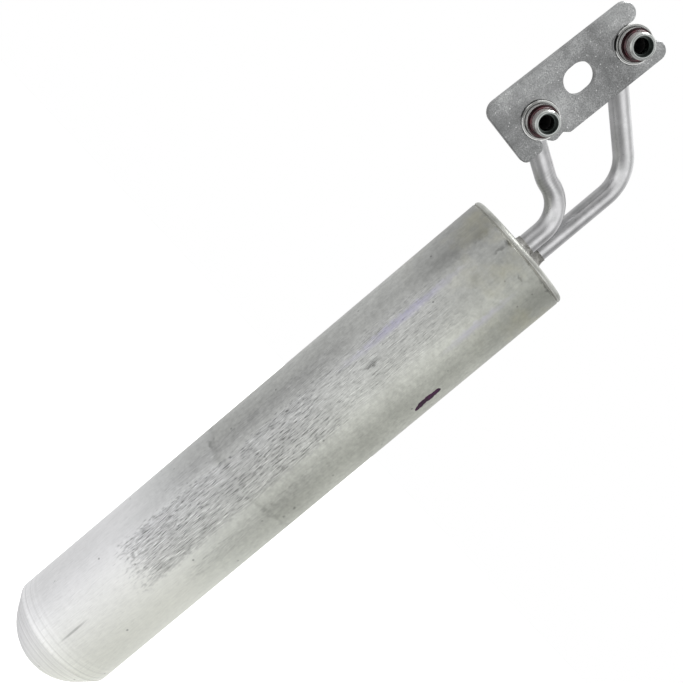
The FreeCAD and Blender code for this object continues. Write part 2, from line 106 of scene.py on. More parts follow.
world = bpy.data.worlds.new("studio")
bpy.context.scene.world = world
world.use_nodes = True
room = world.node_tree
room.nodes.clear()
looked_in = add(room, "TexCoord").outputs["Generated"]
from_front = add(room, "Mapping", {"Rotation": (0, 0, -view_azimuth)}, {"Vector": looked_in})
axes = add(room, "SeparateXYZ", links={0: from_front}).outputs
backward = add(room, "Math", {1: -1.0}, {0: axes["Y"]}, operation="MULTIPLY")
around = add(room, "Math", links={0: axes["X"], 1: backward}, operation="ARCTAN2")
lap = add(room, "MapRange", {"From Min": -math.pi, "From Max": math.pi}, {"Value": around})
# one lap: 0 is behind the object, 0.25 its left side, 0.5 the camera's side, 0.75 its right side
walls = add(room, "ValToRGB", links={0: lap}, stops=(
    (0.0, 0.66), (0.14, 0.63), (0.20, 0.62), (0.25, 0.38), (0.30, 0.40), (0.385, 0.88), (0.46, 0.50),
    (0.5, 0.26), (0.60, 0.21), (0.68, 0.32), (0.74, 0.39), (0.80, 0.49), (0.87, 0.74), (1.0, 0.68)))
# from the floor at 0 to the ceiling at 1
climb = add(room, "MapRange", {"From Min": -1.0, "From Max": 1.0}, {"Value": axes["Z"]})
heights = add(room, "ValToRGB", links={0: climb}, stops=(
    (0.0, 1.0), (0.12, 0.92), (0.30, 0.66), (0.45, 0.52), (0.52, 0.50), (0.64, 0.60), (0.80, 0.92),
    (1.0, 1.0)))
glow = add(room, "Mix", {0: 1.0}, {1: walls, 2: heights}, data_type="RGBA", blend_type="MULTIPLY")
# a black flag hangs low behind the object on its left, and keeps the undersides of the pipes dark
flag_middle = (-0.462, 0.383, -0.80)
towards = add(room, "VectorMath", {1: flag_middle}, {0: from_front}, operation="DOT_PRODUCT")
flagged = add(room, "MapRange", {"From Min": 0.64, "From Max": 0.92, "To Min": 1.0, "To Max": 0.45},
              {"Value": towards.outputs["Value"]}, interpolation_type="SMOOTHSTEP")
glow = add(room, "Mix", {0: 1.0}, {1: glow, 2: flagged}, data_type="RGBA", blend_type="MULTIPLY")
# the long soft box lies along a tilted great circle with this pole, and is brightest at this middle
box_pole, box_middle, box_light = (0.51, 0.295, -0.808), (0.454, -0.891, -0.05), 0.68
across = add(room, "VectorMath", {1: box_pole}, {0: from_front}, operation="DOT_PRODUCT")
across = add(room, "MapRange", {"From Min": -1.0, "From Max": 1.0}, {"Value": across.outputs["Value"]})
box_across = add(room, "ValToRGB", links={0: across}, stops=(
    (0.34, 0.0), (0.42, 0.4), (0.48, 0.95), (0.57, 1.0), (0.63, 0.42), (0.69, 0.0)))
along = add(room, "VectorMath", {1: box_middle}, {0: from_front}, operation="DOT_PRODUCT")
box_along = add(room, "ValToRGB", links={0: along.outputs["Value"]}, stops=(
    (0.0, 0.04), (0.3, 0.12), (0.5, 0.30), (0.72, 1.0)))
box = add(room, "Mix", {0: 1.0}, {1: box_across, 2: box_along}, data_type="RGBA", blend_type="MULTIPLY")
glow = add(room, "Mix", {0: box_light}, {1: glow, 2: box}, data_type="RGBA", blend_type="ADD")
# all of this lights the object, and the camera sees plain white behind it
lit = add(room, "Background", {"Strength": 2.2}, {"Color": glow})
white = add(room, "Background", {"Color": "#ffffff", "Strength": 1.0})
eye = add(room, "LightPath").outputs["Is Camera Ray"]
both = add(room, "MixShader", links={0: eye, 1: lit, 2: white})
add(room, "OutputWorld", links={"Surface": both})

lamp = bpy.data.lights.new("top_panel", "AREA")
lamp.shape, lamp.size, lamp.energy = "SQUARE", 0.7, 13.0
panel = bpy.data.objects.new("top_panel", lamp)
panel.rotation_mode = "QUATERNION"
panel.location = (-0.50, -0.12, 1.45)
panel_aim = Vector((0, 0, 0.05))
panel.rotation_quaternion = (panel_aim - panel.location).to_track_quat("-Z", "Y")
bpy.context.scene.collection.objects.link(panel)


def new_finish(name):
    """Starts a material: an empty node tree, and the place on the object, in metres, that patterns read."""
    finish = bpy.data.materials.new(name)
    finish.use_nodes = True
    finish.node_tree.nodes.clear()
    return finish, finish.node_tree, add(finish.node_tree, "TexCoord").outputs["Object"]


def close_finish(tree, values, links, height=None, depth=0.0):
    """Ends a material: the surface shader's fixed values and patterns, over relief of a depth in metres."""
    if height is not None:
        links["Normal"] = add(tree, "Bump", {"Distance": depth, "Strength": 1.0}, {"Height": height})
    look = add(tree, "BsdfPrincipled", values, links)
    add(tree, "OutputMaterial", links={"Surface": look})


def new_piece(name, points, faces, finish):
    """Makes a smooth mesh object of the points and faces, with the finish, at the origin."""
    mesh = bpy.data.meshes.new(name)
    mesh.from_pydata(np.reshape(points, (-1, 3)).tolist(), [], np.asarray(faces).tolist())
    mesh.polygons.foreach_set("use_smooth", np.ones(len(mesh.polygons), dtype=bool))
    mesh.materials.append(finish)
    mesh.update()
    piece = bpy.data.objects.new(name, mesh)
    bpy.context.scene.collection.objects.link(piece)
    return piece


# the floor is matt white paper, which has no gloss and faintly shows its fibres
floor_half, floor_height = 3.0, -0.45
paper, tree, place = new_finish("matt_white_paper")
fibres = add(tree, "TexNoise", {"Scale": 1 / (16.67 * MM), "Detail": 4.0}, {"Vector": place})
tone = add(tree, "ValToRGB", links={0: fibres}, stops=((0.3, "#f7f7f5"), (0.7, "#fcfcfb")))
close_finish(tree, {"Roughness": 0.9, "Emission Color": "#ffffff", "Emission Strength": 0.6},
             {"Base Color": tone})
corners = [(x * floor_half, y * floor_half, floor_height) for x, y in ((-1, -1), (1, -1), (1, 1), (-1, 1))]
floor = new_piece("floor", corners, [(0, 1, 2, 3)], paper)
floor.visible_glossy = floor.visible_diffuse = False

# Bottle. One piece of pure aluminium, pressed from a slug into a cup with a domed end and left bare. Its
# upper half has gone dull in store, the lower end is still pale, and sliding in and out of a crate has
# scuffed it lengthwise.
wall_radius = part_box("can_shell")[1][0]


def put_on(finish, *nodes):
    """Gives the finish to the CAD nodes, through their material slots."""
    for name in nodes:
        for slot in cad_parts[name].material_slots:
            slot.material = finish


def wall_place(tree, place):
    """The wall laid flat, with the arc round the axis as x, from the -Y side towards +X, and the height as
    y: the arc is the radius times the arctangent of X over -Y. That angle and the height come with it."""
    axes = add(tree, "SeparateXYZ", links={0: place}).outputs
    front = add(tree, "Math", {1: -1.0}, {0: axes["Y"]}, operation="MULTIPLY")
    angle = add(tree, "Math", links={0: axes["X"], 1: front}, operation="ARCTAN2")
    arc = add(tree, "Math", {1: wall_radius}, {0: angle}, operation="MULTIPLY")
    return add(tree, "CombineXYZ", links={"X": arc, "Y": axes["Z"]}), angle, axes["Z"]


def from_patch(tree, where, arc, up, half_arc, half_up):
    """How far a place on the flat wall lies from a patch's middle, across and up, in the patch's half
    sizes. The patch's arc, height and half sizes are in millimetres."""
    grow = (1 / (half_arc * MM), 1 / (half_up * MM), 0)
    return add(tree, "VectorMath", {1: grow, 2: (-arc / half_arc, -up / half_up, 0)}, {0: where},
               operation="MULTIPLY_ADD")


bottle_finish, tree, place = new_finish("dulled_pressed_aluminium")
flat_wall, angle, height = wall_place(tree, place)
# soft clouds of oxide 22 mm wide, the 2.4 mm mottle of a surface that was pressed and then etched, and
# faint drawing lines 1.1 mm apart
stretched = (1, 1, 0.04)        # draws a pattern out 25 times along the axis
cloud = add(tree, "TexNoise", {"Scale": 1 / (22.22 * MM), "Detail": 5.0, "Roughness": 0.6},
            {"Vector": place})
mottle = add(tree, "TexNoise", {"Scale": 1 / (2.381 * MM), "Detail": 3.0, "Roughness": 0.7},
             {"Vector": place})
lengthwise = add(tree, "Mapping", {"Scale": stretched}, {"Vector": place})
lines = add(tree, "TexNoise", {"Scale": 1 / (1.111 * MM), "Detail": 3.0, "Roughness": 0.6},
            {"Vector": lengthwise})
clouding, speckle, lined = (
    add(tree, "MapRange", {"From Min": 0.3, "From Max": 0.7, "To Min": darkest, "To Max": brightest},
        {"Value": noise})
    for noise, darkest, brightest in ((cloud, 0.90, 1.08), (mottle, 0.85, 1.13), (lines, 0.95, 1.04)))
shade = add(tree, "Math", links={0: clouding, 1: speckle}, operation="MULTIPLY")
shade = add(tree, "Math", links={0: shade, 1: lined}, operation="MULTIPLY")

# the stain ends in a tide line that wanders by some 3 mm, and below it the dullness fades over 60 mm
tide_height = -21 * MM
wander = add(tree, "MapRange", {"From Min": 0.3, "From Max": 0.7, "To Min": -4 * MM, "To Max": 4 * MM},
             {"Value": cloud})
stain_edge = add(tree, "Math", links={0: height, 1: wander}, operation="ADD")
above_tide = add(tree, "MapRange",
                 {"From Min": tide_height - 3 * MM, "From Max": tide_height + 1 * MM, "To Max": 0.3},
                 {"Value": stain_edge}, interpolation_type="SMOOTHSTEP")
fade = add(tree, "MapRange",
           {"From Min": tide_height - 63 * MM, "From Max": tide_height - 1 * MM, "To Max": 0.7},
           {"Value": stain_edge}, interpolation_type="SMOOTHSTEP")
dull = add(tree, "Math", links={0: above_tide, 1: fade}, operation="ADD")
tint = add(tree, "ValToRGB", links={0: dull}, stops=(
    (0.0, "#f6f6f4"), (0.35, "#e8e9e6"), (0.7, "#d8d9d5"), (1.0, "#cfd0cb")))
# clouds, mottle and lines are far fainter below the stain
calm = add(tree, "MapRange", {"To Min": 0.84, "To Max": 0.15}, {"Value": dull})
shade = add(tree, "Mix", {2: 1.0}, {0: calm, 1: shade})
from_tide = add(tree, "Math", {1: tide_height}, {0: stain_edge}, operation="SUBTRACT")
from_tide = add(tree, "Math", links={0: from_tide}, operation="ABSOLUTE")
tide = add(tree, "MapRange", {"From Max": 1.6 * MM, "To Min": 0.88, "To Max": 1.0}, {"Value": from_tide})
# grime towards the rim, where hands and clamps hold the bottle
grime = add(tree, "MapRange", {"From Min": 92 * MM, "From Max": 134 * MM, "To Min": 1.0, "To Max": 0.70},
            {"Value": height})

# scuffs, 0.2 mm wide and drawn out lengthwise, are dark where they hold dirt and bright where they are cut;
# another noise chops them up, so that each is only some 2 mm long
drawn = add(tree, "Mapping", {"Rotation": (0, math.radians(2), 0), "Scale": stretched}, {"Vector": place})
scuffs = add(tree, "TexNoise", {"Scale": 1 / (0.2174 * MM), "Detail": 1.0, "Roughness": 0.6},
             {"Vector": drawn})
dashes = add(tree, "MapRange", {"From Min": 0.36, "From Max": 0.64, "To Min": 0.40, "To Max": -0.70},
             {"Value": scuffs})
drawn = add(tree, "Mapping", {"Scale": (1, 1, 0.4)}, {"Vector": place})
bunches = add(tree, "TexNoise", {"Scale": 1 / (0.909 * MM), "Detail": 2.0}, {"Vector": drawn})
bunched = add(tree, "MapRange", {"From Min": 0.42, "From Max": 0.58, "To Min": 0.25, "To Max": 1.0},
              {"Value": bunches})
dashes = add(tree, "Math", links={0: dashes, 1: bunched}, operation="MULTIPLY")
# where it rubbed: the arc from the -Y side and the height of each patch's middle, its half arc and half
# height, all in mm, its strength, and the share of each half that is rubbed in full; the ends are frayed
# by up to 25 mm, since each scuff stops at its own height
rubbed_patches = (
    (-9.4, -6.0, 13.8, 66.0, 1.0, 0.74), (-11.0, 80.0, 15.5, 52.0, 0.6, 0.6),
    (12.5, -8.0, 5.0, 50.0, 0.3, 0.6), (-27.0, 20.0, 6.0, 70.0, 0.4, 0.5),
    (70.0, 4.0, 17.0, 95.0, 0.5, 0.1), (-72.0, 34.0, 15.0, 98.0, 0.4, 0.1))
faint_scuffing = 0.10
frayed = add(tree, "VectorMath", {1: (9 * MM, 36 * MM, 0)}, {0: bunches.outputs["Color"], 2: flat_wall},
             operation="MULTIPLY_ADD")
rubbed = None
for *patch, strength, full in rubbed_patches:
    offset = add(tree, "VectorMath", links={0: from_patch(tree, frayed, *patch)}, operation="ABSOLUTE")
    sides = add(tree, "SeparateXYZ", links={0: offset}).outputs
    reach = add(tree, "Math", links={0: sides["X"], 1: sides["Y"]}, operation="MAXIMUM")
    rub = add(tree, "MapRange", {"From Min": 1.0, "From Max": full, "To Max": strength}, {"Value": reach},
              interpolation_type="SMOOTHSTEP")
    rubbed = rub if rubbed is None else add(tree, "Math", links={0: rubbed, 1: rub}, operation="MAXIMUM")
everywhere = add(tree, "Math", {1: faint_scuffing}, {0: rubbed}, operation="MAXIMUM")
dashes = add(tree, "Math", links={0: dashes, 1: everywhere}, operation="MULTIPLY")
scuffed = add(tree, "Math", {1: 1.0}, {0: dashes}, operation="ADD")

# pits: about one in each 9 mm of wall has a dark pinhole, 0.6 mm across
pit_cells = add(tree, "TexVoronoi", {"Scale": 1 / (9.09 * MM)}, {"Vector": place})
pits = add(tree, "MapRange", {"From Min": 0.03, "From Max": 0.075, "To Min": 0.55, "To Max": 1.0},
           {"Value": pit_cells})
# turned rings on the dome, from the tool that trued it: they follow the radius and the height together
out = add(tree, "Mapping", {"Scale": (1, 1, 0)}, {"Vector": place})
radius = add(tree, "VectorMath", links={0: out}, operation="LENGTH").outputs["Value"]
ring_place = add(tree, "Math", {1: 0.8}, {0: radius, 2: height}, operation="MULTIPLY_ADD")
ring_mark = add(tree, "TexNoise", {"Scale": 1 / (1.5385 * MM), "Detail": 2.0}, {"W": ring_place},
                noise_dimensions="1D")
on_dome = add(tree, "MapRange", {"From Min": -129 * MM, "From Max": -139 * MM}, {"Value": height})
rings = add(tree, "MapRange", {"From Min": 0.35, "From Max": 0.65, "To Min": -0.01, "To Max": 0.12},
            {"Value": ring_mark})
rings = add(tree, "Math", {2: 1.0}, {0: rings, 1: on_dome}, operation="MULTIPLY_ADD")
for mark in (tide, grime, scuffed, pits, rings):
    shade = add(tree, "Math", links={0: shade, 1: mark}, operation="MULTIPLY")

# smudges, and broad painted shades where the wall is to look less lit, such as the two long ones on the
# left of the front, all with edges ragged by 2 mm, and one straight scratch: each one's patch in mm, as
# above, and how dark it is
smudges_and_painted_shades = (
    (-17.0, 142.2, 3.6, 2.0, 0.7), (-17.5, 136.5, 1.4, 4.5, 0.35), (-29.1, 134.6, 3.5, 6.0, 0.25),
    (-2.0, 135.5, 2.4, 1.2, 0.3), (-14.6, 120.3, 3.0, 3.5, 0.2), (-30.7, 116.9, 6.0, 15.0, 0.16),
    (17.3, -11.2, 1.6, 0.9, 0.45), (17.4, -17.9, 1.3, 0.9, 0.4), (-14.9, 60.2, 1.3, 5.5, 0.5),
    (-38.0, -22.5, 5.0, 1.3, 0.3), (11.0, 142.0, 9.0, 1.0, 0.45), (-13.3, -16.0, 6.5, 60.0, 0.12),
    (-30.0, -68.0, 6.0, 24.0, 0.07), (60.0, 120.0, 9.0, 14.0, 0.2), (88.0, 30.0, 7.0, 20.0, 0.18),
    (45.0, -60.0, 5.0, 9.0, 0.2))
scratch = (-8.9, -126.0, 0.8, 10.0, 0.32)
centred = add(tree, "VectorMath", {1: (-2 * MM, -2 * MM, 0)}, {0: flat_wall}, operation="ADD")
ragged = add(tree, "VectorMath", {1: (4 * MM, 4 * MM, 0)}, {0: mottle.outputs["Color"], 2: centred},
             operation="MULTIPLY_ADD")
for edges, (*patch, dark) in [(ragged, dark_patch) for dark_patch in smudges_and_painted_shades] + [(flat_wall, scratch)]:
    reach = add(tree, "VectorMath", links={0: from_patch(tree, edges, *patch)}, operation="LENGTH")
    dark_patch = add(tree, "MapRange", {"From Min": 0.2, "From Max": 1.1, "To Min": 1 - dark, "To Max": 1.0},
                 {"Value": reach.outputs["Value"]}, interpolation_type="SMOOTHSTEP")
    shade = add(tree, "Math", links={0: shade, 1: dark_patch}, operation="MULTIPLY")

# rubbed metal is greyer than the dull skin
greyed = add(tree, "Math", {1: 0.5}, {0: rubbed}, operation="MULTIPLY")
tint = add(tree, "Mix", {2: "#bbbbbb"}, {0: greyed, 1: tint}, data_type="RGBA")
colour = add(tree, "VectorMath", links={0: tint, "Scale": shade}, operation="SCALE")
# the left of the front is cool and the right of it slightly green, from two coats of wax
waxed = add(tree, "MapRange", {"From Min": -1.0, "From Max": 0.5}, {"Value": angle},
            interpolation_type="SMOOTHSTEP")
wax = add(tree, "Mix", {1: "#f8f8fb", 2: "#fbfcf7"}, {0: waxed}, data_type="RGBA")
colour = add(tree, "Mix", {0: 1.0}, {1: colour, 2: wax}, data_type="RGBA", blend_type="MULTIPLY")
# a rusty yellow tinge near the top
yellow_at = add(tree, "MapRange", {"From Min": 0.48, "From Max": 0.66, "To Max": 0.3}, {"Value": cloud})
near_top = add(tree, "MapRange", {"From Min": 92 * MM, "From Max": 128 * MM}, {"Value": height})
yellow_at = add(tree, "Math", links={0: yellow_at, 1: near_top}, operation="MULTIPLY")
colour = add(tree, "Mix", {2: "#bcb896"}, {0: yellow_at, 1: colour}, data_type="RGBA")
# two faint lilac runs of old marking fluid: each one's patch in mm, as above, and its strength
for *patch, strength in ((-22.4, 84.0, 2.8, 40.0, 0.8), (2.4, 108.0, 2.4, 24.0, 0.5)):
    reach = add(tree, "VectorMath", links={0: from_patch(tree, ragged, *patch)}, operation="LENGTH")
    lilac = add(tree, "MapRange", {"From Min": 1.0, "From Max": 0.3, "To Max": strength},
                {"Value": reach.outputs["Value"]})
    lilac = add(tree, "Math", links={0: lilac, 1: mottle}, operation="MULTIPLY")
    colour = add(tree, "Mix", {2: "#b3aed0"}, {0: lilac, 1: colour}, data_type="RGBA")
matt = add(tree, "MapRange", {"To Min": 0.74, "To Max": 0.48}, {"Value": dull})
relief = add(tree, "Math", {1: 0.4}, {0: dashes, 2: mottle}, operation="MULTIPLY_ADD")
close_finish(tree, {"Metallic": 1.0}, {"Base Color": colour, "Roughness": matt}, relief, 0.04 * MM)
put_on(bottle_finish, "can_shell")

# Marker stroke. The inspector's mark: one dab of a broad purple felt pen, laid lengthwise on the wall. The
# ink is a thin film with ragged ends, a little glossy where it pooled.
stroke_arc, stroke_low, stroke_high = 18.9 * MM, 60.6 * MM, 76.2 * MM
stroke_half, ink_thickness = 1.9 * MM, 0.05 * MM
# the film's edge stands a little proud of the wall, and its back is sunk into it
ink_edge, ink_root = 0.02 * MM, -0.05 * MM


def ink_film(rows=60, columns=12):
    """Closed film on the wall, as its outer and inner skin. Along the stroke its half width swells as a
    power of a half ellipse, with two small waves for the felt's edge, and its middle line leans and bows
    slightly; across it the thickness falls off as a flat dome."""
    along, across = np.meshgrid(np.linspace(-1, 1, rows), np.linspace(-1, 1, columns), indexing="ij")
    half = stroke_half * (1 - along ** 2) ** 0.28
    half = half * (1 + 0.10 * np.sin(9 * along) + 0.06 * np.sin(23 * along + 1))
    lean = (-0.3 * along - 0.8 * (1 - along ** 2) + 0.2 * np.sin(5 * along)) * MM
    turned = (stroke_arc + lean + half * across) / wall_radius
    z = (stroke_low + stroke_high) / 2 + (stroke_high - stroke_low) / 2 * along
    lift = ink_thickness * (1 - across ** 4) * (1 - along ** 8)
    skins = []
    for proud in (ink_edge + lift, np.full_like(lift, ink_root)):
        r = wall_radius + proud
        skins.append(np.stack([r * np.sin(turned), -r * np.cos(turned), z], -1))
    return skins


def sheet_faces(rows, columns, start=0, flip=False):
    """Quads between neighbouring rows and columns of a grid of points."""
    at = start + np.arange(rows * columns).reshape(rows, columns)
    quads = np.stack([at[:-1, :-1], at[:-1, 1:], at[1:, 1:], at[1:, :-1]], -1).reshape(-1, 4)
    return quads[:, ::-1] if flip else quads


def rim_faces(rows, columns, other):
    """Quads that join the border of one grid to the border of the next one, which starts at other."""
    at = np.arange(rows * columns).reshape(rows, columns)
    border = np.concatenate([at[0, :-1], at[:-1, -1], at[-1, :0:-1], at[:0:-1, 0]])
    after = np.roll(border, -1)
    return np.stack([after, border, border + other, after + other], -1)


ink, tree, place = new_finish("dried_marker_ink")
pooling = add(tree, "TexNoise", {"Scale": 1 / (2 * MM), "Detail": 3.0}, {"Vector": place})
tone = add(tree, "ValToRGB", links={0: pooling}, stops=((0.35, "#1d001a"), (0.68, "#470a42")))
shine = add(tree, "MapRange", {"To Min": 0.6, "To Max": 0.9}, {"Value": pooling})
close_finish(tree, {"IOR": 1.5}, {"Base Color": tone, "Roughness": shine}, pooling, 0.02 * MM)
outer, inner = ink_film()
rows, columns = outer.shape[:2]
faces = np.concatenate([sheet_faces(rows, columns), sheet_faces(rows, columns, rows * columns, True),
                        rim_faces(rows, columns, rows * columns)])
stroke = new_piece("marker_stroke", np.stack([outer, inner]), faces, ink)
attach(stroke, "root")

# Cap and weld. The cap is turned from bar and pushed into the bottle, and a weld run fills the groove
# between them. The bead is dark with soot, and bright where the torch cleaned it.
lip_height = 142.9 * MM
cap_finish, tree, place = new_finish("turned_aluminium_cap")
out = add(tree, "Mapping", {"Scale": (1, 1, 0)}, {"Vector": place})
radius = add(tree, "VectorMath", links={0: out}, operation="LENGTH").outputs["Value"]
# tool marks every 0.5 mm; the real feed is about 0.1 mm, too fine to show
feed = add(tree, "TexNoise", {"Scale": 1 / (0.5 * MM), "Detail": 1.0}, {"W": radius}, noise_dimensions="1D")
cloud = add(tree, "TexNoise", {"Scale": 1 / (8.333 * MM), "Detail": 5.0, "Roughness": 0.65},
            {"Vector": place})
tone = add(tree, "ValToRGB", links={0: cloud}, stops=(
    (0.3, "#969791"), (0.5, "#a9aaa5"), (0.72, "#b9bab5")))
# the lowest turned edge, just above the seam, carries a thin painted highlight
height = add(tree, "SeparateXYZ", links={0: place}).outputs["Z"]
from_lip = add(tree, "Math", {1: lip_height}, {0: height}, operation="SUBTRACT")
from_lip = add(tree, "Math", links={0: from_lip}, operation="ABSOLUTE")
painted_edge_highlight = add(tree, "MapRange", {"From Min": 0.8 * MM, "From Max": 0.2 * MM, "To Max": 0.3},
                {"Value": from_lip})
tone = add(tree, "Mix", {2: "#e6e6e0"}, {0: painted_edge_highlight, 1: tone}, data_type="RGBA")
matt = add(tree, "MapRange", {"From Min": 0.3, "From Max": 0.7, "To Min": 0.55, "To Max": 0.42},
           {"Value": cloud})
close_finish(tree, {"Metallic": 1.0}, {"Base Color": tone, "Roughness": matt}, feed, 0.03 * MM)
put_on(cap_finish, "end_cap")

weld_finish, tree, place = new_finish("sooty_weld_bead")
soot = add(tree, "TexNoise", {"Scale": 1 / (11.11 * MM), "Detail": 4.0, "Roughness": 0.7},
           {"Vector": place})
tone = add(tree, "ValToRGB", links={0: soot}, stops=(
    (0.31, "#4a4843"), (0.40, "#8f8e87"), (0.52, "#a6a69f")))
ripples = add(tree, "TexNoise", {"Scale": 1 / (1.4286 * MM), "Detail": 2.0}, {"Vector": place})
close_finish(tree, {"Metallic": 1.0, "Roughness": 0.5}, {"Base Color": tone}, ripples, 0.08 * MM)
put_on(weld_finish, "seam_weld")

# Pipes. Drawn aluminium tube of 10 mm, bent on a mandrel. The surface is smooth and satin, slightly cloudy
# every 7 mm, and has faint rings where the bender's collet held it.
pipe_finish, tree, place = new_finish("drawn_aluminium_tube")
cloud = add(tree, "TexNoise", {"Scale": 1 / (6.667 * MM), "Detail": 4.0, "Roughness": 0.6},
            {"Vector": place})
grain = add(tree, "TexNoise", {"Scale": 1 / (1.1111 * MM), "Detail": 3.0, "Roughness": 0.6},
            {"Vector": place})
tone = add(tree, "ValToRGB", links={0: cloud}, stops=(
    (0.3, "#abacac"), (0.5, "#b8b8b9"), (0.7, "#c4c4c5")))
matt = add(tree, "MapRange", {"From Min": 0.3, "From Max": 0.7, "To Min": 0.27, "To Max": 0.33},
           {"Value": grain})
# next to the stubs, behind the clamp plate, brazing soot fades over 15 mm; it also serves as painted shade
# in the gap behind the plate
axes = add(tree, "SeparateXYZ", links={0: place}).outputs
patchy = add(tree, "Math", {1: 14 * MM}, {0: cloud, 2: axes["Y"]}, operation="MULTIPLY_ADD")
soot_and_painted_shade = add(tree, "MapRange", {"From Min": 6 * MM, "From Max": -9 * MM, "To Max": 0.85}, {"Value": patchy},
            interpolation_type="SMOOTHSTEP")
beyond = add(tree, "MapRange", {"From Min": -36 * MM, "From Max": -42 * MM}, {"Value": axes["X"]})
soot_and_painted_shade = add(tree, "Math", links={0: soot_and_painted_shade, 1: beyond}, operation="MULTIPLY")
# the collet's rings, on the slanted run of the short pipe, below this height
ring_pitch, grip_middle, grip_top = 1.4 * MM, -18.5 * MM, 186 * MM
from_grip = add(tree, "Math", {1: grip_middle}, {0: axes["X"]}, operation="SUBTRACT")
from_grip = add(tree, "Math", links={0: from_grip}, operation="ABSOLUTE")
gripped = add(tree, "MapRange", {"From Min": 6.5 * MM, "From Max": 3.5 * MM}, {"Value": from_grip})
below_top = add(tree, "MapRange", {"From Min": grip_top + 4 * MM, "From Max": grip_top},
                {"Value": axes["Z"]})
gripped = add(tree, "Math", links={0: gripped, 1: below_top}, operation="MULTIPLY")
phase = add(tree, "Math", {1: 2 * math.pi / ring_pitch}, {0: axes["X"]}, operation="MULTIPLY")
wave = add(tree, "Math", links={0: phase}, operation="SINE")
ringed = add(tree, "Math", links={0: wave, 1: gripped}, operation="MULTIPLY")
ringed = add(tree, "MapRange", {"From Min": -1.0, "From Max": 1.0, "To Min": 0.94, "To Max": 1.06},
             {"Value": ringed})
tone = add(tree, "VectorMath", links={0: tone, "Scale": ringed}, operation="SCALE")
# the soot and painted shade behind the plate: dark brown, matt and not metallic
tone = add(tree, "Mix", {2: "#1f1b18"}, {0: soot_and_painted_shade, 1: tone}, data_type="RGBA")
matt = add(tree, "Math", {1: 0.35}, {0: soot_and_painted_shade, 2: matt}, operation="MULTIPLY_ADD")
metal = add(tree, "Math", {0: 1.0}, {1: soot_and_painted_shade}, operation="SUBTRACT")
close_finish(tree, {}, {"Base Color": tone, "Roughness": matt, "Metallic": metal}, grain, 0.008 * MM)
put_on(pipe_finish, "outlet_pipe", "inlet_pipe")

# Brazing. Each pipe's foot and each stub's back is fixed with a run of brazing alloy, dark where the flux
# burnt on and glassy where the metal ran.
braze_finish, tree, place = new_finish("flux_stained_braze")
flux = add(tree, "TexNoise", {"Scale": 1 / (3.846 * MM), "Detail": 4.0, "Roughness": 0.65},
           {"Vector": place})
tone = add(tree, "ValToRGB", links={0: flux}, stops=(
    (0.34, "#63615d"), (0.45, "#93928e"), (0.62, "#b6b5b1")))
matt = add(tree, "MapRange", {"From Min": 0.35, "From Max": 0.65, "To Min": 0.62, "To Max": 0.34},
           {"Value": flux})
close_finish(tree, {"Metallic": 1.0}, {"Base Color": tone, "Roughness": matt}, flux, 0.14 * MM)
put_on(braze_finish, "outlet_braze", "inlet_braze", "outlet_stub_braze", "inlet_stub_braze")

# Stubs. Pipe ends turned from bar on a lathe: bead, groove, shoulder, O-ring groove and pilot land. Fresh
# turned metal is bright, with fine rings round its axis.
mouth_radius, shoulder_radius, bead_radius = 4.3 * MM, 7.3 * MM, 8.65 * MM
# painted black shadow in the gaps round the beads, in round spots that reach through the plate: the middle
# of each in X and Z, and its radius, in mm, and its strength
painted_gap_shadows = ((-53.5, 229.9, 4.3, 1.0), (-56.6, 187.9, 1.7, 0.4), (-56.0, 181.6, 2.4, 0.6))


def across_stub(tree, place):
    """The place with its depth along Y taken out, since both stubs and their seats run along Y."""
    return add(tree, "VectorMath", {1: (1, 0, 1)}, {0: place}, operation="MULTIPLY")


def from_stub_axes(tree, place):
    """How far a point lies from the nearer one of the two stubs' axes."""
    flat = across_stub(tree, place)
    apart = {}
    for at, stub in enumerate(("outlet_stub", "inlet_stub")):
        low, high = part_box(stub)
        middle = ((low[0] + high[0]) / 2, 0.0, (low[2] + high[2]) / 2)
        distance = add(tree, "VectorMath", {1: middle}, {0: flat}, operation="DISTANCE")
        apart[at] = distance.outputs["Value"]
    return add(tree, "Math", links=apart, operation="MINIMUM")


def painted_gap_shadow_spots(tree, place):
    """Where the painted gap shadow lies: the sum of its round spots, each of which fades over the outer 0.3
    of its radius."""
    flat = across_stub(tree, place)
    spots = None
    for x, z, radius, strength in painted_gap_shadows:
        reach = add(tree, "VectorMath", {1: (x * MM, 0, z * MM)}, {0: flat}, operation="DISTANCE")
        spot = add(tree, "MapRange",
                   {"From Min": radius * MM, "From Max": 0.7 * radius * MM, "To Max": strength},
                   {"Value": reach.outputs["Value"]})
        spots = spot if spots is None else add(tree, "Math", links={0: spots, 1: spot}, operation="ADD")
    return spots


stub_finish, tree, place = new_finish("turned_aluminium_stub")
axes = add(tree, "SeparateXYZ", links={0: place}).outputs
off_axis = from_stub_axes(tree, place)
# tool marks every 0.4 mm, and broader bands between one cut and the next; they follow the axis and the
# radius together, so that the flat faces carry rings as well
cut_place = add(tree, "Math", {1: 1.3}, {0: off_axis, 2: axes["Y"]}, operation="MULTIPLY_ADD")
feed = add(tree, "TexNoise", {"Scale": 1 / (0.3846 * MM), "Detail": 1.0}, {"W": cut_place},
           noise_dimensions="1D")
bands = add(tree, "TexNoise", {"Scale": 1 / (0.6667 * MM), "Detail": 1.0}, {"W": cut_place},
            noise_dimensions="1D")
banded = add(tree, "MapRange", {"From Min": 0.35, "From Max": 0.65, "To Min": 0.5, "To Max": 1.25},
             {"Value": bands})
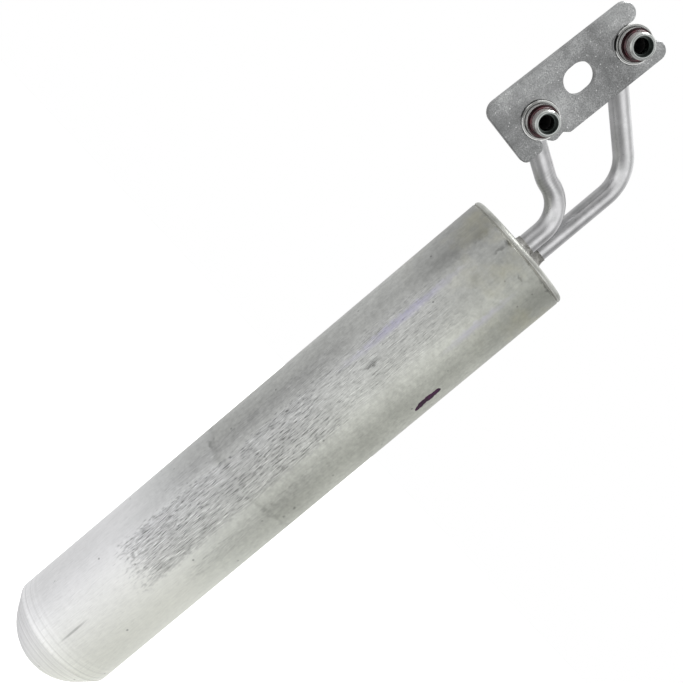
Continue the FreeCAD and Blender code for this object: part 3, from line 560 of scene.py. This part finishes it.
# each diameter by its place along the axis: bead, groove painted black as its shade, bright shoulder, ring
# groove painted dark red-brown as its shade, land with a faint pink that is a painted reflection of the
# O-ring, a dark line at the tip's chamfer, and tip
along = add(tree, "MapRange", {"From Min": -19 * MM, "From Max": -31.5 * MM}, {"Value": axes["Y"]})
tone = add(tree, "ValToRGB", links={0: along}, stops=(
    (0.0, "#a8a8a5"), (0.11, "#a8a8a5"), (0.125, "#f0f0ee"), (0.155, "#f0f0ee"), (0.165, "#1d1d1c"),
    (0.205, "#1d1d1c"), (0.215, "#f4f4f2"), (0.40, "#efedeb"), (0.41, "#3a2427"), (0.58, "#381c21"),
    (0.605, "#dfdbd9"), (0.88, "#e0dcda"), (0.905, "#6f706d"), (0.92, "#b4b7b4"), (1.0, "#a8abaa")))
# the bead's front face, from the shoulder outwards, carries painted shade, darkest in its corner by the
# shoulder, and a painted highlight on its outer rim
on_bead = add(tree, "MapRange",
              {"From Min": shoulder_radius + 0.05 * MM, "From Max": shoulder_radius + 0.1 * MM},
              {"Value": off_axis})
outward = add(tree, "MapRange", {"From Min": shoulder_radius, "From Max": bead_radius}, {"Value": off_axis})
bead_painted_shade_and_highlight = add(tree, "ValToRGB", links={0: outward}, stops=(
    (0.1, "#3b3b3a"), (0.22, "#5f605e"), (0.40, "#b5b6b4"), (0.8, "#c4c5c3"), (1.0, "#f4f4f2")))
tone = add(tree, "Mix", links={0: on_bead, 1: tone, 2: bead_painted_shade_and_highlight}, data_type="RGBA")
tone = add(tree, "VectorMath", links={0: tone, "Scale": banded}, operation="SCALE")
# the mouth and bore are painted dark as their shade, and a painted black shadow lies on the bead's rim
painted_mouth_shade = add(tree, "MapRange", {"From Min": mouth_radius + 0.45 * MM, "From Max": mouth_radius + 0.15 * MM},
            {"Value": off_axis})
tone = add(tree, "Mix", {2: "#3f4643"}, {0: painted_mouth_shade, 1: tone}, data_type="RGBA")
on_rim = add(tree, "MapRange", {"From Min": bead_radius - 0.45 * MM, "From Max": bead_radius - 0.3 * MM},
             {"Value": off_axis})
in_painted_gap_shadow = add(tree, "Math", links={0: painted_gap_shadow_spots(tree, place), 1: on_rim}, operation="MULTIPLY")
tone = add(tree, "Mix", {2: "#0e0e0d"}, {0: in_painted_gap_shadow, 1: tone}, data_type="RGBA")
matt = add(tree, "MapRange", {"From Min": 0.3, "From Max": 0.7, "To Min": 0.13, "To Max": 0.2},
           {"Value": feed})
matt = add(tree, "Math", {1: 0.7}, {0: in_painted_gap_shadow, 2: matt}, operation="MULTIPLY_ADD")
# a thin film of dried grease dulls the metal
close_finish(tree, {"Metallic": 0.55}, {"Base Color": tone, "Roughness": matt}, feed, 0.02 * MM)
put_on(stub_finish, "outlet_stub", "inlet_stub")

# O-rings. Moulded nitrile rubber in a dark wine red. They were oiled before assembly, and the oil that is
# left gives them a soft shine.
rubber_finish, tree, place = new_finish("oiled_red_nitrile_rubber")
film = add(tree, "TexNoise", {"Scale": 1 / (2.5 * MM), "Detail": 3.0}, {"Vector": place})
tone = add(tree, "ValToRGB", links={0: film}, stops=((0.35, "#22050a"), (0.65, "#4e101c")))
matt = add(tree, "MapRange", {"From Min": 0.3, "From Max": 0.7, "To Min": 0.16, "To Max": 0.34},
           {"Value": film})
close_finish(tree, {"IOR": 1.52, "Coat Weight": 0.1, "Coat Roughness": 0.2},
             {"Base Color": tone, "Roughness": matt}, film, 0.01 * MM)
put_on(rubber_finish, "outlet_o_ring", "inlet_o_ring")

# Clamp plate. Stamped from 4 mm aluminium strip and tumbled with grit, which rounds its edges and leaves an
# even grey face full of small bright and dark dents.
plate_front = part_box("clamp_plate")[0][1]
plate_finish, tree, place = new_finish("tumbled_aluminium_plate")
cloud = add(tree, "TexNoise", {"Scale": 1 / (8.333 * MM), "Detail": 4.0, "Roughness": 0.6},
            {"Vector": place})
dents = add(tree, "TexNoise", {"Scale": 1 / (0.5882 * MM), "Detail": 2.0, "Roughness": 0.7},
            {"Vector": place})
shade = add(tree, "Math", links={0: cloud, 1: dents}, operation="MULTIPLY")
tone = add(tree, "ValToRGB", links={0: shade}, stops=(
    (0.14, "#6b6c6c"), (0.25, "#7c7d7d"), (0.38, "#969797")))
# painted light: the plate is painted brighter towards its upper outer corner, and this rises towards it
painted_light_rise = add(tree, "VectorMath", {1: (-1, 0, 0.5)}, {0: place}, operation="DOT_PRODUCT").outputs["Value"]
painted_light_rise = add(tree, "MapRange", {"From Min": 138 * MM, "From Max": 182 * MM, "To Min": 1.16, "To Max": 1.6},
           {"Value": painted_light_rise})
# painted light and shade along the height: lighter on the lower half, darker in the middle, and darkest in
# a painted shadow under the upper seat
axes = add(tree, "SeparateXYZ", links={0: place}).outputs
lengthways = add(tree, "MapRange", {"From Min": 170 * MM, "From Max": 242 * MM}, {"Value": axes["Z"]})
painted_shade_along = add(tree, "ValToRGB", links={0: lengthways}, stops=(
    (0.0, 0.52), (0.20, 0.66), (0.38, 0.65), (0.48, 0.52), (0.60, 0.48), (0.76, 0.34), (0.88, 0.62),
    (1.0, 0.62)))
painted_shade_along = add(tree, "Math", {1: 2.0}, {0: painted_shade_along}, operation="MULTIPLY")
painted_light_and_shade = add(tree, "Math", links={0: painted_light_rise, 1: painted_shade_along}, operation="MULTIPLY")
tone = add(tree, "VectorMath", links={0: tone, "Scale": painted_light_and_shade}, operation="SCALE")
# bright flakes where the grit struck hard, painted as glints, one in each 2.4 mm
flake_cells = add(tree, "TexVoronoi", {"Scale": 1 / (2.381 * MM)}, {"Vector": place})
painted_glint_flakes = add(tree, "MapRange", {"From Min": 0.13, "From Max": 0.06, "To Max": 0.7}, {"Value": flake_cells})
tone = add(tree, "Mix", {2: "#f2f2f2"}, {0: painted_glint_flakes, 1: tone}, data_type="RGBA")
# the same painted black shadow sits in the two seats, below the front face
sunk = add(tree, "MapRange", {"From Min": plate_front + 0.05 * MM, "From Max": plate_front + 0.3 * MM},
           {"Value": axes["Y"]})
in_painted_gap_shadow = add(tree, "Math", links={0: painted_gap_shadow_spots(tree, place), 1: sunk}, operation="MULTIPLY")
tone = add(tree, "Mix", {2: "#0e0e0d"}, {0: in_painted_gap_shadow, 1: tone}, data_type="RGBA")
matt = add(tree, "MapRange", {"From Min": 0.3, "From Max": 0.7, "To Min": 0.50, "To Max": 0.36},
           {"Value": dents})
matt = add(tree, "Math", {1: 0.45}, {0: in_painted_gap_shadow, 2: matt}, operation="MULTIPLY_ADD")
close_finish(tree, {"Metallic": 1.0}, {"Base Color": tone, "Roughness": matt}, dents, 0.12 * MM)
put_on(plate_finish, "clamp_plate")

# Suction tube and orifice, inside the bottle. The tube is the same drawn stock as the pipes; the orifice
# that meters oil back is a turned brass jet, with tool marks every 0.25 mm.
put_on(pipe_finish, "inner_tube")
brass_finish, tree, place = new_finish("turned_brass_jet")
height = add(tree, "SeparateXYZ", links={0: place}).outputs["Z"]
feed = add(tree, "TexNoise", {"Scale": 1 / (0.25 * MM), "Detail": 1.0}, {"W": height},
           noise_dimensions="1D")
tone = add(tree, "ValToRGB", links={0: feed}, stops=((0.3, "#c9a24e"), (0.7, "#e2c279")))
close_finish(tree, {"Metallic": 1.0, "Roughness": 0.25}, {"Base Color": tone}, feed, 0.01 * MM)
put_on(brass_finish, "bleed_orifice")

# Moulded pieces, inside the bottle: sleeve, deflector, support ring, filter cage and straps. Natural nylon,
# ivory with a satin skin and faint flow lines.
nylon_finish, tree, place = new_finish("natural_moulded_nylon")
flow = add(tree, "TexNoise", {"Scale": 1 / (14.29 * MM), "Detail": 3.0, "Distortion": 1.5},
           {"Vector": place})
skin = add(tree, "TexNoise", {"Scale": 1 / (0.6667 * MM), "Detail": 2.0}, {"Vector": place})
tone = add(tree, "ValToRGB", links={0: flow}, stops=((0.3, "#d8d2c0"), (0.7, "#ece7d8")))
matt = add(tree, "MapRange", {"To Min": 0.38, "To Max": 0.52}, {"Value": flow})
close_finish(tree, {"IOR": 1.53, "Subsurface Weight": 0.1, "Subsurface Scale": 2 * MM},
             {"Base Color": tone, "Roughness": matt}, skin, 0.01 * MM)
put_on(nylon_finish, "outer_sleeve", "flow_deflector", "bag_support_ring", "oil_filter_housing",
       "lower_bag_strap", "upper_bag_strap")

# Oil filter screen, inside the bottle. Woven polyester gauze; its threads are 0.15 mm apart and are drawn
# at 0.5 mm so that they can be told apart.
gauze_finish, tree, place = new_finish("woven_polyester_gauze")
thread_pitch = 0.5 * MM
# the screen is a fifth as wide as the bottle, so its arc is a fifth of the arc on the wall
on_screen = add(tree, "SeparateXYZ", links={0: wall_place(tree, place)[0]}).outputs
threads = {}
for at, (axis, share) in enumerate((("X", 0.2), ("Y", 1.0))):
    phase = add(tree, "Math", {1: 2 * math.pi * share / thread_pitch}, {0: on_screen[axis]},
                operation="MULTIPLY")
    threads[at] = add(tree, "Math", links={0: phase}, operation="SINE")
weave = add(tree, "Math", links=threads, operation="MAXIMUM")
tone = add(tree, "ValToRGB", links={0: weave}, stops=((0.1, "#8f8f88"), (0.8, "#e4e4df")))
close_finish(tree, {"IOR": 1.57, "Roughness": 0.6}, {"Base Color": tone}, weave, 0.08 * MM)
put_on(gauze_finish, "oil_filter_screen")

# Desiccant bag, inside the bottle. A ring of white needled felt filled with beads and sewn shut round both
# ends, which its two straps pull in. It swells between them and shows the beads as small lumps.
bag_low, bag_high = (corner[2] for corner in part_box("desiccant_bag"))
bag_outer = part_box("desiccant_bag")[1][0]
bag_inner = 10.6 * MM
strap_heights = [sum(corner[2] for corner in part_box(strap)) / 2
                 for strap in ("lower_bag_strap", "upper_bag_strap")]
waist_depth, waist_length = 1.9 * MM, 4.5 * MM
end_slack, side_slack, swell = 0.4 * MM, 0.7 * MM, 0.5 * MM
bead_lump, bead_pitch, beads_round = 0.16 * MM, math.pi * MM, 46


def felt_bag(turns=144, rows=96):
    """Closed ring: round the axis by the first parameter, and by the second one up the outside and down
    the inside. The outside is a rounded box, drawn in by its slack and by a bell curve at each strap, and
    raised between them by a slow product of sines for its swell and a quick one for its beads. The swell
    makes two and a half waves a turn, which leaves a step at +X, as at a sewn side. The inside is
    straight."""
    t = np.linspace(0, 2 * np.pi, turns, endpoint=False)[:, None]
    s = np.linspace(0, 2 * np.pi, rows, endpoint=False)[None, :]
    middle, half_width = (bag_outer + bag_inner) / 2, (bag_outer - bag_inner) / 2
    centre, half_height = (bag_low + bag_high) / 2, (bag_high - bag_low) / 2 - end_slack
    corner = (np.abs(np.cos(s)) ** 6 + np.abs(np.sin(s)) ** 6) ** (-1 / 6)
    across, up = np.cos(s) * corner, np.sin(s) * corner
    z = centre + half_height * up
    waist = sum(np.exp(-((z - strap) / waist_length) ** 2) for strap in strap_heights)
    outside = np.clip(across, 0, 1)
    crown = swell * np.sin(2.5 * t + 11 * up) * np.cos(5 * t - 7 * up)
    beads = bead_lump * np.sin(beads_round * t) * np.sin(2 * np.pi * z / bead_pitch + 3 * np.sin(7 * t))
    raised = (crown + beads) * (1 - waist)
    r = middle + half_width * across - outside * (waist_depth * waist + side_slack - raised)
    r, z, t = np.broadcast_arrays(r, z, t)
    return np.stack([r * np.cos(t), r * np.sin(t), z], -1)


felt_finish, tree, place = new_finish("white_needled_felt")
hairs = add(tree, "TexNoise", {"Scale": 1 / (0.625 * MM), "Detail": 5.0, "Distortion": 2.0},
            {"Vector": place})
dust = add(tree, "TexNoise", {"Scale": 1 / (11.11 * MM), "Detail": 3.0}, {"Vector": place})
tone = add(tree, "ValToRGB", links={0: dust}, stops=((0.3, "#dedcd2"), (0.7, "#f0efe9")))
close_finish(tree, {"IOR": 1.5, "Roughness": 0.95, "Sheen Weight": 0.3, "Sheen Roughness": 0.5},
             {"Base Color": tone}, hairs, 0.15 * MM)
points = felt_bag()
turns, rows = points.shape[:2]
at = np.arange(turns * rows).reshape(turns, rows)
across, upward = np.roll(at, -1, 0), np.roll(at, -1, 1)
faces = np.stack([at, across, np.roll(across, -1, 1), upward], -1).reshape(-1, 4)
bag = new_piece("felt_bag", points, faces, felt_finish)
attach(bag, "root")
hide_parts("desiccant_bag")
